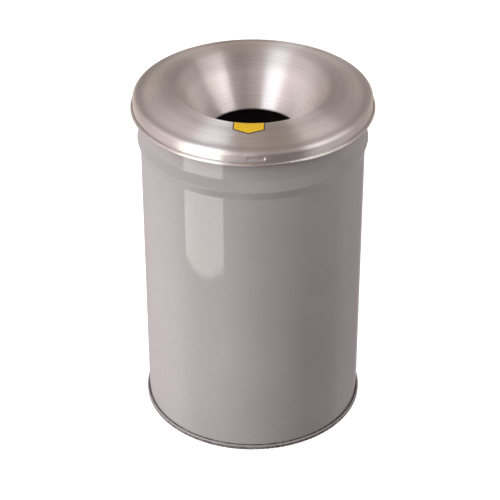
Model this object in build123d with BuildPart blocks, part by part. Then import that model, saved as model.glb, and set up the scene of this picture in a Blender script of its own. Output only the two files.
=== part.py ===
"""Self-extinguishing oily waste can: a steel drum under a lift-off spun-aluminium funnel head.

Every sheet part is drawn by the middle line of its sheet, given its thickness and revolved
about the can's axis. The origin is the centre of the base, +Z is up and -Y is the front.
"""

import os
from math import asin, atan2, cos, degrees, radians, sin, tan

from build123d import *

# ---------------------------------------------------------------- driving dimensions, mm
# Drum
drum_sheet = 0.95
drum_radius = 180.8  # outside of the plain wall
drum_top = 578.8  # highest point of the top curl
curl_radius = 3.91  # middle line of the sheet in the curl
curl_turn = 290.0  # degrees
bead_radius = 185.75  # crest of the stiffening bead below the head
bead_height = 504.7
bead_flank_above = 18.5
bead_flank_below = 15.0
bead_crest_rounding = 2.2
bead_foot_rounding = 9.0

# Bottom head and the double seam that holds it
bottom_sheet = 1.0
seam_radius = 184.8
seam_top = 8.5
seam_corner_rounding = 1.9
seam_bend_rounding = 1.2
seam_gap = 0.35  # between the layers
body_hook_top = 5.8
cover_hook_tip = 3.2
panel_height = 11.5
panel_corner_rounding = 4.0
panel_ring_inside = 118.0
panel_ring_outside = 140.0
panel_ring_rise = 4.0
panel_ring_slope = 6.0
panel_ring_rounding = 5.0

# Side seam of the drum, at the back
weld_width = 3.2
weld_proud = 0.25
weld_bottom = 14.0
weld_top = 570.0

# Funnel head
head_sheet = 1.2
head_top = 592.9  # top of the crown around the funnel's mouth
ledge_height = 580.4  # top of the narrow ledge inside the shoulder
rim_radius = 195.25  # outside of the rolled rim
rim_height = 558.7  # centre of the rolled rim
rim_turn = 285.0
skirt_radius = 191.4  # outside of the skirt
shoulder_rounding = 7.5  # outside of the sheet, as are the head's other roundings
ledge_reach = 180.0  # where the ledge starts to rise towards the crown
ledge_rounding = 25.0
mouth_rounding = 12.0
cone_angle = 58.0  # wall of the funnel, from the horizontal
throat_radius = 71.2  # clear bore inside the rolled throat
throat_height = 511.6  # centre of the rolled throat
throat_roll_radius = 2.0  # middle line of the sheet
throat_turn = 270.0

# Pressed dimples that keep the head central on the drum's curl
dimple_count = 3
dimple_depth = 1.2
dimple_height = 7.0
dimple_length = 30.0
dimple_level = 568.3
dimple_turn = 1.4  # degrees, the front dimple to the right of the middle

# Label on the near lip of the funnel
label_width = 49.0
label_thickness = 0.2
label_inner_reach = 114.5
label_corner_reach = 142.7
label_tip_reach = 152.7
label_turn = -2.6  # degrees, to the left of the middle
label_rounding = 1.2

# ---------------------------------------------------------------- worked-out sizes
drum_line = drum_radius - drum_sheet / 2
curl_centre = drum_line + curl_radius
curl_height = drum_top - curl_radius - drum_sheet / 2
bead_slope = atan2(bead_radius - drum_radius, (bead_flank_above + bead_flank_below) / 2)
bead_corner = bead_radius - drum_sheet / 2 + bead_crest_rounding * (1 / cos(bead_slope) - 1)

chuck_line = drum_radius - drum_sheet - bottom_sheet / 2
cover_hook_line = drum_radius + seam_gap + bottom_sheet / 2
body_hook_line = cover_hook_line + bottom_sheet / 2 + seam_gap + drum_sheet / 2
seam_line = seam_radius - bottom_sheet / 2
hook_bend_radius = (body_hook_line - drum_line) / 2
hook_bend_height = bottom_sheet + seam_gap + drum_sheet / 2 + hook_bend_radius

ledge_line = ledge_height - head_sheet / 2
skirt_line = skirt_radius - head_sheet / 2
rim_roll_radius = (rim_radius - head_sheet / 2 - skirt_line) / 2
throat_centre = throat_radius + throat_roll_radius + head_sheet / 2
cone_foot = throat_centre - throat_roll_radius * sin(radians(cone_angle))
cone_foot_height = throat_height + throat_roll_radius * cos(radians(cone_angle))
mouth_line = mouth_rounding - head_sheet / 2
cone_top_height = head_top - mouth_rounding + mouth_line * cos(radians(cone_angle))
cone_top = cone_foot + (cone_top_height - cone_foot_height) / tan(radians(cone_angle))
crown_reach = cone_top + mouth_line * sin(radians(cone_angle))  # where the crown is level

# The crown's arc meets the ledge's arc smoothly, so their radii add up along one straight line.
crown_rise = head_top - ledge_height
crown_run = ledge_reach - crown_reach
crown_rounding = (crown_run**2 + crown_rise**2) / (2 * crown_rise) - ledge_rounding
crown_slope = degrees(asin(crown_run / (crown_rounding + ledge_rounding)))

dimple_ball = ((dimple_height / 2) ** 2 + dimple_depth**2) / (2 * dimple_depth)
dimple_reach = skirt_radius - dimple_depth + dimple_ball
dimple_arc = degrees((dimple_length - dimple_height) / dimple_reach)


def save(part, name):
    """Label one finished piece and write it under its own name."""
    part.label = name
    export_step(part, f"parts/{name}.step")


def upright_plane(turn):
    """The vertical half-plane through the axis, turned about it from the right-hand side."""
    return Plane.XZ.rotated((0, 0, turn))


def dimple_capsules(ball):
    """Round-ended bars bent around the skirt, one at each dimple."""
    with BuildPart() as capsules:
        for index in range(dimple_count):
            start = dimple_turn - 90 - dimple_arc / 2 + index * 360 / dimple_count
            with BuildSketch(upright_plane(start)):
                with Locations((dimple_reach, dimple_level)):
                    Circle(ball)
            revolve(axis=Axis.Z, revolution_arc=dimple_arc)
            for end in (start, start + dimple_arc):
                with Locations(upright_plane(end).location * Pos(dimple_reach, dimple_level)):
                    Sphere(ball)
    return capsules.part


os.makedirs("parts", exist_ok=True)

# ---------------------------------------------------------------- drum shell
# Rolled sheet: curl at the top, stiffening bead, plain wall, hook inside the double seam.
with BuildPart() as drum_shell:
    with BuildSketch(Plane.XZ):
        with BuildLine():
            CenterArc((curl_centre, curl_height), curl_radius, 180, -curl_turn)
            FilletPolyline(
                (drum_line, curl_height),
                (drum_line, bead_height + bead_flank_above),
                (bead_corner, bead_height),
                (drum_line, bead_height - bead_flank_below),
                (drum_line, hook_bend_height),
                radius=(bead_foot_rounding, bead_crest_rounding, bead_foot_rounding),
            )
            CenterArc((drum_line + hook_bend_radius, hook_bend_height), hook_bend_radius, 180, 180)
            Line((body_hook_line, hook_bend_height), (body_hook_line, body_hook_top))
        trace(line_width=drum_sheet)
    revolve(axis=Axis.Z)
save(drum_shell.part, "drum_shell")

# ---------------------------------------------------------------- side seam weld
# The weld stands a little proud on both faces of the wall, from the seam to the curl.
with BuildPart() as side_seam_weld:
    weld_arc = degrees(weld_width / drum_radius)
    with BuildSketch(upright_plane(90 - weld_arc / 2)):
        with BuildLine():
            FilletPolyline(
                (drum_line, weld_top),
                (drum_line, bead_height + bead_flank_above),
                (bead_corner, bead_height),
                (drum_line, bead_height - bead_flank_below),
                (drum_line, weld_bottom),
                radius=(bead_foot_rounding, bead_crest_rounding, bead_foot_rounding),
            )
        trace(line_width=drum_sheet + 2 * weld_proud)
    revolve(axis=Axis.Z, revolution_arc=weld_arc)
    add(drum_shell.part, mode=Mode.SUBTRACT)
save(side_seam_weld.part, "side_seam_weld")

# ---------------------------------------------------------------- bottom head
# Recessed panel with a pressed ring, chuck wall, and the hook that wraps the drum's own.
with BuildPart() as bottom_head:
    with BuildSketch(Plane.XZ):
        with BuildLine():
            FilletPolyline(
                (0, panel_height),
                (panel_ring_inside, panel_height),
                (panel_ring_inside + panel_ring_slope, panel_height + panel_ring_rise),
                (panel_ring_outside - panel_ring_slope, panel_height + panel_ring_rise),
                (panel_ring_outside, panel_height),
                (chuck_line, panel_height),
                (chuck_line, bottom_sheet / 2),
                (seam_line, bottom_sheet / 2),
                (seam_line, seam_top - bottom_sheet / 2),
                (cover_hook_line, seam_top - bottom_sheet / 2),
                (cover_hook_line, cover_hook_tip),
                radius=(
                    *[panel_ring_rounding] * 4,
                    panel_corner_rounding,
                    seam_corner_rounding,
                    seam_corner_rounding,
                    seam_bend_rounding,
                    seam_bend_rounding,
                ),
            )
        trace(line_width=bottom_sheet)
    revolve(axis=Axis.Z)
save(bottom_head.part, "bottom_head")

# ---------------------------------------------------------------- seam compound
# A bead of sealing compound over the end of the drum's hook, filling the head's bend.
with BuildPart() as seam_compound:
    with BuildSketch(Plane.XZ) as compound_section:
        with Locations((cover_hook_line + bottom_sheet / 2, body_hook_top)):
            Rectangle(
                seam_line - cover_hook_line - bottom_sheet,
                seam_top - bottom_sheet - body_hook_top,
                align=(Align.MIN, Align.MIN),
            )
        top_corners = compound_section.vertices().group_by(Axis.Y)[-1]
        fillet(top_corners, seam_bend_rounding - bottom_sheet / 2)
    revolve(axis=Axis.Z)
save(seam_compound.part, "seam_compound")

# ---------------------------------------------------------------- funnel head
dimple_backs = dimple_capsules(dimple_ball + head_sheet)
dimple_faces = dimple_capsules(dimple_ball)

with BuildPart() as dimple_pads:
    add(dimple_backs)
    with Locations((0, 0, dimple_level)):
        Cylinder(skirt_line, 4 * dimple_height, mode=Mode.INTERSECT)

with BuildPart() as funnel_head:
    with BuildSketch(Plane.XZ):
        with BuildLine():
            CenterArc((skirt_line + rim_roll_radius, rim_height), rim_roll_radius, 180, rim_turn)
            FilletPolyline(
                (skirt_line, rim_height),
                (skirt_line, ledge_line),
                (ledge_reach, ledge_line),
                radius=shoulder_rounding - head_sheet / 2,
            )
            CenterArc(
                (ledge_reach, ledge_height + ledge_rounding),
                ledge_rounding + head_sheet / 2,
                270,
                -crown_slope,
            )
            CenterArc(
                (crown_reach, head_top - crown_rounding),
                crown_rounding - head_sheet / 2,
                90 - crown_slope,
                crown_slope,
            )
            CenterArc((crown_reach, head_top - mouth_rounding), mouth_line, 90, cone_angle)
            Line((cone_top, cone_top_height), (cone_foot, cone_foot_height))
            CenterArc(
                (throat_centre, throat_height), throat_roll_radius, 90 + cone_angle, throat_turn
            )
        trace(line_width=head_sheet)
    revolve(axis=Axis.Z)
    add(dimple_pads.part)
    add(dimple_faces, mode=Mode.SUBTRACT)
save(funnel_head.part, "funnel_head")

# ---------------------------------------------------------------- label
# A five-sided label, pointing outwards, that lies on the crown and follows the lip into the
# funnel's mouth.
with BuildPart() as label:
    with BuildSketch(Plane.XZ):
        with BuildLine():
            CenterArc(
                (crown_reach, head_top - crown_rounding),
                crown_rounding + label_thickness / 2,
                90 - crown_slope,
                crown_slope,
            )
            CenterArc(
                (crown_reach, head_top - mouth_rounding),
                mouth_rounding + label_thickness / 2,
                90,
                cone_angle,
            )
        trace(line_width=label_thickness)
    revolve(axis=Axis.Z)
    with BuildSketch(Plane.XY.rotated((0, 0, label_turn)).offset(head_top)):
        with BuildLine():
            Polyline(
                (-label_width / 2, -label_inner_reach),
                (-label_width / 2, -label_corner_reach),
                (0, -label_tip_reach),
                (label_width / 2, -label_corner_reach),
                (label_width / 2, -label_inner_reach),
                close=True,
            )
        make_face()
        fillet(vertices(), label_rounding)
    extrude(amount=crown_rise, both=True, mode=Mode.INTERSECT)
save(label.part, "label")
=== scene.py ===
from math import atan, cos, pi, radians, sin

import bpy
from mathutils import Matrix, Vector

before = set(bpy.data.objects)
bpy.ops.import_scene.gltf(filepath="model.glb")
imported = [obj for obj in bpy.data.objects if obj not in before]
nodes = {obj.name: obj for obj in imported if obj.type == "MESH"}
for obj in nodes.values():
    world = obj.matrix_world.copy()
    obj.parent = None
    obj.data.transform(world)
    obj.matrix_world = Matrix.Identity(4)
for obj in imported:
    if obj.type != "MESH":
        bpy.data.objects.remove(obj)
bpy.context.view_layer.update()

scene = bpy.context.scene
scene.view_settings.view_transform = "Standard"

# ---------------------------------------------------------------- camera
camera_distance = 3.016
camera_elevation = radians(33.2)
aim_height = 0.2794
camera_lens = 129.4
camera_sensor = 36.0
framing_shift = (-0.0057, 0.001)


def make_camera():
    """A long lens from the front, well above the can, aimed at its axis."""
    data = bpy.data.cameras.new("camera")
    data.lens = camera_lens
    data.sensor_width = camera_sensor
    data.shift_x, data.shift_y = framing_shift
    camera = bpy.data.objects.new("camera", data)
    scene.collection.objects.link(camera)
    away = Vector((0, -cos(camera_elevation), sin(camera_elevation)))
    camera.location = Vector((0, 0, aim_height)) + away * camera_distance
    camera.rotation_euler = (-away).to_track_quat("-Z", "Y").to_euler()
    scene.camera = camera


make_camera()

# ---------------------------------------------------------------- node helpers
soft_edge = 0.0002
middle = (0.3, 0.7)      # most of the values that a noise takes


class Graph:
    """Short calls for building a node tree: most return the new node's output socket."""

    def __init__(self, tree):
        self.tree = tree

    def node(self, kind, **settings):
        made = self.tree.nodes.new(kind)
        for name, value in settings.items():
            setattr(made, name, value)
        return made

    def feed(self, socket, value):
        """Link another socket into this one, or set a constant on it."""
        if hasattr(value, "is_output"):
            self.tree.links.new(value, socket)
        else:
            socket.default_value = value

    def math(self, operation, a, b=0.0):
        made = self.node("ShaderNodeMath", operation=operation)
        self.feed(made.inputs[0], a)
        self.feed(made.inputs[1], b)
        return made.outputs[0]

    def blend(self, a, share_a, b, share_b):
        """The sum of two values, each with its share."""
        return self.math("ADD", self.math("MULTIPLY", a, share_a), self.math("MULTIPLY", b, share_b))

    def radius(self, x, y):
        """Distance from the can's axis."""
        return self.math("SQRT", self.blend(x, x, y, y))

    def ramp(self, value, low, high, to_low=0.0, to_high=1.0):
        made = self.node("ShaderNodeMapRange", interpolation_type="SMOOTHSTEP")
        for index, item in enumerate((value, low, high, to_low, to_high)):
            self.feed(made.inputs[index], item)
        return made.outputs[0]

    def below(self, value, edge):
        """1 under the edge and 0 over it, with a narrow soft step between."""
        return self.ramp(value, edge - soft_edge, edge + soft_edge, 1.0, 0.0)

    def mix(self, factor, a, b):
        made = self.node("ShaderNodeMix", data_type="RGBA")
        self.feed(made.inputs["Factor"], factor)
        self.feed(made.inputs[6], a)
        self.feed(made.inputs[7], b)
        return made.outputs[2]

    def noise(self, vector, scale, detail=2.0, roughness=0.5):
        made = self.node("ShaderNodeTexNoise")
        self.feed(made.inputs["Vector"], vector)
        made.inputs["Scale"].default_value = scale
        made.inputs["Detail"].default_value = detail
        made.inputs["Roughness"].default_value = roughness
        return made.outputs["Fac"]

    def vector(self, x, y, z):
        made = self.node("ShaderNodeCombineXYZ")
        for index, item in enumerate((x, y, z)):
            self.feed(made.inputs[index], item)
        return made.outputs[0]

    def split(self, vector):
        made = self.node("ShaderNodeSeparateXYZ")
        self.feed(made.inputs[0], vector)
        return made.outputs

    def place(self):
        return self.node("ShaderNodeTexCoord").outputs["Object"]

    def bump(self, height, distance):
        made = self.node("ShaderNodeBump")
        made.inputs["Strength"].default_value = 1.0
        made.inputs["Distance"].default_value = distance
        self.feed(made.inputs["Height"], height)
        return made.outputs[0]


def new_material(name):
    """A new node material, its graph and its shader."""
    material = bpy.data.materials.new(name)
    material.use_nodes = True
    graph = Graph(material.node_tree)
    shader = material.node_tree.nodes["Principled BSDF"]
    return material, graph, shader


# ---------------------------------------------------------------- aluminium of the head
ring_dark = (0.67, 0.635, 0.605, 1)
ring_bright = (0.87, 0.84, 0.815, 1)
ring_contrast = (0.36, 0.64)
ring_roughness = (0.36, 0.44)
ring_depth = 0.00005
fine_ring_scale = 1700.0
broad_ring_scale = 520.0
handling_scale = 14.0
handling_roughness = 0.015

# Radii between which the spinning is a little rougher, from where it sets in to where it ends.
worked_from = (0.102, 0.114)
worked_to = (0.128, 0.150)
worked_roughness = 0.08


def spun_aluminium():
    """Bare aluminium turned on a lathe: fine rings around the axis and streaked highlights."""
    material, g, shader = new_material("spun_aluminium")
    x, y, z = g.split(g.place())
    radius = g.radius(x, y)
    profile = g.vector(radius, z, 0.0)
    fine = g.noise(profile, fine_ring_scale, 3.0, 0.7)
    broad = g.noise(profile, broad_ring_scale, 3.0, 0.7)
    handling = g.noise(g.place(), handling_scale, 3.0)
    tone = g.blend(broad, 0.45, fine, 0.55)
    g.feed(shader.inputs["Base Color"], g.mix(g.ramp(tone, *ring_contrast), ring_dark, ring_bright))
    shader.inputs["Metallic"].default_value = 1.0
    rings = g.ramp(tone, *ring_contrast, *ring_roughness)
    handled = g.ramp(handling, *middle, -handling_roughness, handling_roughness)
    worked = g.ramp(radius, *worked_to, worked_roughness, 0.0)
    worked = g.math("MULTIPLY", g.ramp(radius, *worked_from), worked)
    rough = g.math("ADD", g.math("ADD", rings, handled), worked)
    g.feed(shader.inputs["Roughness"], rough)
    shader.inputs["Anisotropic"].default_value = 1.0
    shader.inputs["Anisotropic Rotation"].default_value = 0.25
    tangent = g.node("ShaderNodeTangent", direction_type="RADIAL", axis="Z")
    g.feed(shader.inputs["Tangent"], tangent.outputs[0])
    g.feed(shader.inputs["Normal"], g.bump(g.blend(fine, 0.3, broad, 0.7), ring_depth))
    return material


# ---------------------------------------------------------------- paint of the drum
paint_dark = (0.342, 0.332, 0.338, 1)
paint_light = (0.391, 0.380, 0.387, 1)
paint_roughness = (0.06, 0.09)
cloud_scale = 9.0
swell_scale = 26.0
gloss_scale = 60.0
seam_shade_breakup_scale = 160.0
grain_scale = 380.0
peel_scale = 420.0
surface_depth = 0.0002
# Painted shade: the dark colour given to the inside of the drum.
inside_shade_colour = (0.10, 0.096, 0.10, 1)
# Painted shade: the dark colour given to the bottom seam's face and groove.
seam_shade_colour = (0.085, 0.075, 0.085, 1)

# Painted shade around the bottom seam: paint is dark on the seam's face, outside of the seam_outside
# radius and up to between seam_edge and seam_top, and within the seam_inside radius up to between
# seam_top and groove_top.
seam_inside = 0.1812
seam_outside = 0.1835
seam_edge = 0.0058
seam_top = 0.0085
groove_top = 0.0108

# Inside this radius, halfway through the drum's wall, the drum's inside is painted dark as painted
# shade.
inside_shade_radius = 0.1803


def drum_paint():
    """Light grey enamel on rolled steel: faint grain and peel, with painted shade around the bottom seam
    and inside the drum.
    """
    material, g, shader = new_material("drum_paint")
    place = g.place()
    cloud = g.noise(place, cloud_scale, 3.0)
    grain = g.noise(place, grain_scale, 3.0, 0.6)
    tone = g.blend(cloud, 0.4, grain, 0.6)
    colour = g.mix(g.ramp(tone, *middle), paint_dark, paint_light)
    x, y, z = g.split(place)
    radius = g.radius(x, y)
    # Painted shade: the inside of the drum is painted dark.
    inside_shade = g.math("MULTIPLY", g.below(radius, inside_shade_radius), g.ramp(z, groove_top, 2 * groove_top))
    colour = g.mix(inside_shade, colour, inside_shade_colour)
    # Painted shade on the bottom seam's face and in its groove, broken up by a noise.
    outside = g.ramp(radius, seam_inside, seam_outside)
    inside = g.math("SUBTRACT", 1.0, outside)
    face = g.math("MULTIPLY", outside, g.ramp(z, seam_edge, seam_top, 1.0, 0.0))
    groove = g.math("MULTIPLY", inside, g.ramp(z, seam_top, groove_top, 1.0, 0.0))
    seam_shade_breakup = g.ramp(g.noise(place, seam_shade_breakup_scale, 3.0), 0.35, 0.65, 0.55, 1.0)
    seam_shade = g.math("MULTIPLY", g.math("MAXIMUM", face, groove), seam_shade_breakup)
    g.feed(shader.inputs["Base Color"], g.mix(seam_shade, colour, seam_shade_colour))
    gloss = g.noise(place, gloss_scale, 2.0)
    g.feed(shader.inputs["Roughness"], g.ramp(gloss, *middle, *paint_roughness))
    peel = g.noise(place, peel_scale, 2.0)
    swell = g.noise(place, swell_scale, 1.0)
    g.feed(shader.inputs["Normal"], g.bump(g.blend(peel, 0.02, swell, 0.6), surface_depth))
    return material


# ---------------------------------------------------------------- label and compound
label_turn = radians(-2.6)
label_half_width = 0.0245
label_inner_reach = 0.1145
label_corner_reach = 0.1427
label_tip_reach = 0.1527
label_border = 0.0019
label_row_turns = 1600.0      # radians of the print's rows in a metre
label_mark_scale = 420.0
label_mark_squeeze = 3.0
label_mottle_scale = 300.0
label_roughness = (0.32, 0.4)
label_yellows = ((0.78, 0.50, 0.012, 1), (0.90, 0.62, 0.02, 1))
label_print = (0.42, 0.15, 0.02, 1)
label_dark = (0.055, 0.03, 0.035, 1)
compound_mottle_scale = 400.0
compound_roughness = (0.6, 0.8)
compound_darks = ((0.02, 0.018, 0.017, 1), (0.05, 0.046, 0.042, 1))


def label_vinyl():
    """Yellow printed vinyl with a dark border along its five edges and faint rows of print."""
    material, g, shader = new_material("label_vinyl")
    place = g.place()
    turned = g.node("ShaderNodeVectorRotate", rotation_type="Z_AXIS")
    g.feed(turned.inputs["Vector"], place)
    turned.inputs["Angle"].default_value = -label_turn
    across, along, _ = g.split(turned.outputs[0])
    side = g.math("ABSOLUTE", across)
    reach = g.math("MULTIPLY", along, -1.0)
    slope = (label_tip_reach - label_corner_reach) / label_half_width
    tip_edge = g.math("SUBTRACT", label_tip_reach, g.math("MULTIPLY", side, slope))
    from_side = g.math("SUBTRACT", label_half_width, side)
    from_top = g.math("SUBTRACT", reach, label_inner_reach)
    from_tip = g.math("MULTIPLY", g.math("SUBTRACT", tip_edge, reach), cos(atan(slope)))
    inward = g.math("MINIMUM", from_side, g.math("MINIMUM", from_top, from_tip))
    mottle = g.noise(place, label_mottle_scale, 2.0)
    yellow = g.mix(mottle, *label_yellows)
    rows = g.math("SINE", g.math("MULTIPLY", reach, label_row_turns))
    squeezed = g.math("MULTIPLY", across, label_mark_squeeze)
    marks = g.noise(g.vector(squeezed, reach, 0.0), label_mark_scale, 1.0)
    print_rows = g.math("MULTIPLY", g.ramp(rows, 0.0, 0.6), g.ramp(marks, 0.45, 0.6))
    inside = g.ramp(inward, 2 * label_border, 3 * label_border, 0.0, 0.75)
    printed = g.mix(g.math("MULTIPLY", print_rows, inside), yellow, label_print)
    g.feed(shader.inputs["Base Color"], g.mix(g.below(inward, label_border), printed, label_dark))
    g.feed(shader.inputs["Roughness"], g.ramp(mottle, *middle, *label_roughness))
    return material


def seam_compound():
    """Dark rubbery sealing compound."""
    material, g, shader = new_material("seam_compound")
    mottle = g.noise(g.place(), compound_mottle_scale, 3.0)
    g.feed(shader.inputs["Base Color"], g.mix(mottle, *compound_darks))
    g.feed(shader.inputs["Roughness"], g.ramp(mottle, *middle, *compound_roughness))
    return material


def finish_node(name, material):
    """Give a carried-over node its finish."""
    mesh = nodes[name].data
    mesh.materials.clear()
    mesh.materials.append(material)


paint = drum_paint()
for painted in ("drum_shell", "side_seam_weld", "bottom_head"):
    finish_node(painted, paint)
finish_node("funnel_head", spun_aluminium())
finish_node("label", label_vinyl())
finish_node("seam_compound", seam_compound())

# ---------------------------------------------------------------- studio floor and softboxes
floor_half = 12.0
floor_glow = 0.8
floor_greys = ((0.86, 0.86, 0.86, 1), (0.9, 0.9, 0.9, 1))

# The key light stands close by on the left: the drum shows its lower part as a tall pale window,
# and its upper part is for the head. The two softboxes on the right are for the head too.
key_light = {"azimuth": -46.5, "distance": 0.75, "width": 0.535}
right_light = {"distance": 1.2, "width": 0.5, "low": 0.8, "high": 1.6}


def make_floor():
    """A pale floor, left out of reflections and bounce so that the room alone lights the can."""
    mesh = bpy.data.meshes.new("floor")
    corners = [(-floor_half, -floor_half, 0), (floor_half, -floor_half, 0)]
    corners += [(floor_half, floor_half, 0), (-floor_half, floor_half, 0)]
    mesh.from_pydata(corners, [], [(0, 1, 2, 3)])
    floor = bpy.data.objects.new("floor", mesh)
    scene.collection.objects.link(floor)
    material, g, shader = new_material("floor")
    g.feed(shader.inputs["Base Color"], g.mix(g.noise(g.place(), 3.0), *floor_greys))
    shader.inputs["Roughness"].default_value = 0.9
    shader.inputs["Emission Color"].default_value = (1, 1, 1, 1)
    shader.inputs["Emission Strength"].default_value = floor_glow
    mesh.materials.append(material)
    floor.visible_glossy = False
    floor.visible_diffuse = False


def make_panel(name, azimuth, distance, width, low, high, colour, radiance):
    """An upright softbox facing the can; azimuth 0 is in front, positive to the right."""
    data = bpy.data.lights.new(name, "AREA")
    data.shape = "RECTANGLE"
    data.size = width
    data.size_y = high - low
    data.color = colour
    data.energy = radiance * pi * data.size * data.size_y
    light = bpy.data.objects.new(name, data)
    scene.collection.objects.link(light)
    turn = radians(azimuth)
    away = Vector((sin(turn), -cos(turn), 0))
    light.location = away * distance + Vector((0, 0, (low + high) / 2))
    light.rotation_euler = away.to_track_quat("Z", "Y").to_euler()
    light.visible_camera = False


make_floor()
make_panel("key_low", **key_light, low=-0.056, high=0.42, colour=(1.0, 1.0, 0.9), radiance=3.1)
make_panel("key_high", **key_light, low=1.0, high=1.9, colour=(0.8, 0.9, 1.0), radiance=3.0)
make_panel("right_near", azimuth=60, **right_light, colour=(1.0, 0.98, 0.97), radiance=2.0)
make_panel("right_far", azimuth=84, **right_light, colour=(1.0, 1.0, 0.95), radiance=1.2)

# ---------------------------------------------------------------- room light
# Each height of the room has one tint, and a brightness at a few azimuths, 0 in front.
floor_light = (
    (1.0, 0.87, 0.89),
    ((-180, 0.55), (-90, 1.15), (-60, 0.3), (-30, 0.75), (10, 0.15), (60, 0.0), (110, 0.65), (150, 0.4)),
)
wall_light = (
    (1.0, 0.85, 0.74),
    ((-180, 0.6), (-150, 1.25), (-110, 0.35), (-60, 0.0), (0, 0.2), (30, 0.0), (90, 0.0), (150, 0.95)),
)
upper_light = (
    (1.0, 0.89, 0.91),
    ((-180, 0.15), (-120, 1.0), (-60, 3.0), (-30, 2.1), (15, 0.85), (60, 1.3), (110, 0.75), (150, 0.45)),
)
ceiling_light = (
    (1.0, 0.80, 0.68),
    ((-180, 0.55), (-90, 0.0), (0, 0.4), (90, 0.15)),
)
room_light = (floor_light, wall_light, upper_light, ceiling_light)
backdrop = (1.0, 1.0, 1.0, 1)

# The sine of the elevation at which one height fades into the next.
floor_to_wall = (-0.45, 0.0)
wall_to_upper = (0.05, 0.45)
upper_to_ceiling = (0.55, 0.9)


def around(g, turn, tint, stops):
    """A tint whose brightness follows stops of (degrees, brightness), closed at the back."""
    ramp = g.node("ShaderNodeValToRGB")
    g.feed(ramp.inputs[0], turn)
    elements = ramp.color_ramp.elements
    closed = (*stops, (180, stops[0][1]))
    while len(elements) < len(closed):
        elements.new(0.5)
    for index, (azimuth, brightness) in enumerate(closed):
        elements[index].position = azimuth / 360 + 0.5
        elements[index].color = (*[part * brightness for part in tint], 1)
    return ramp.outputs[0]


def make_room():
    """Surrounding light in four heights, seen in the metal; the camera itself sees a plain backdrop."""
    world = bpy.data.worlds.new("room")
    scene.world = world
    world.use_nodes = True
    g = Graph(world.node_tree)
    background = world.node_tree.nodes["Background"]
    x, y, height = g.split(g.node("ShaderNodeTexCoord").outputs["Generated"])
    azimuth = g.math("ARCTAN2", x, g.math("MULTIPLY", y, -1.0))
    turn = g.math("ADD", g.math("DIVIDE", azimuth, 2 * pi), 0.5)
    floor, wall, upper, ceiling = [around(g, turn, *light) for light in room_light]
    low = g.mix(g.ramp(height, *floor_to_wall), floor, wall)
    high = g.mix(g.ramp(height, *upper_to_ceiling), upper, ceiling)
    light = g.mix(g.ramp(height, *wall_to_upper), low, high)
    seen = g.node("ShaderNodeLightPath").outputs["Is Camera Ray"]
    g.feed(background.inputs["Color"], g.mix(seen, light, backdrop))
    background.inputs["Strength"].default_value = 1.0


make_room()
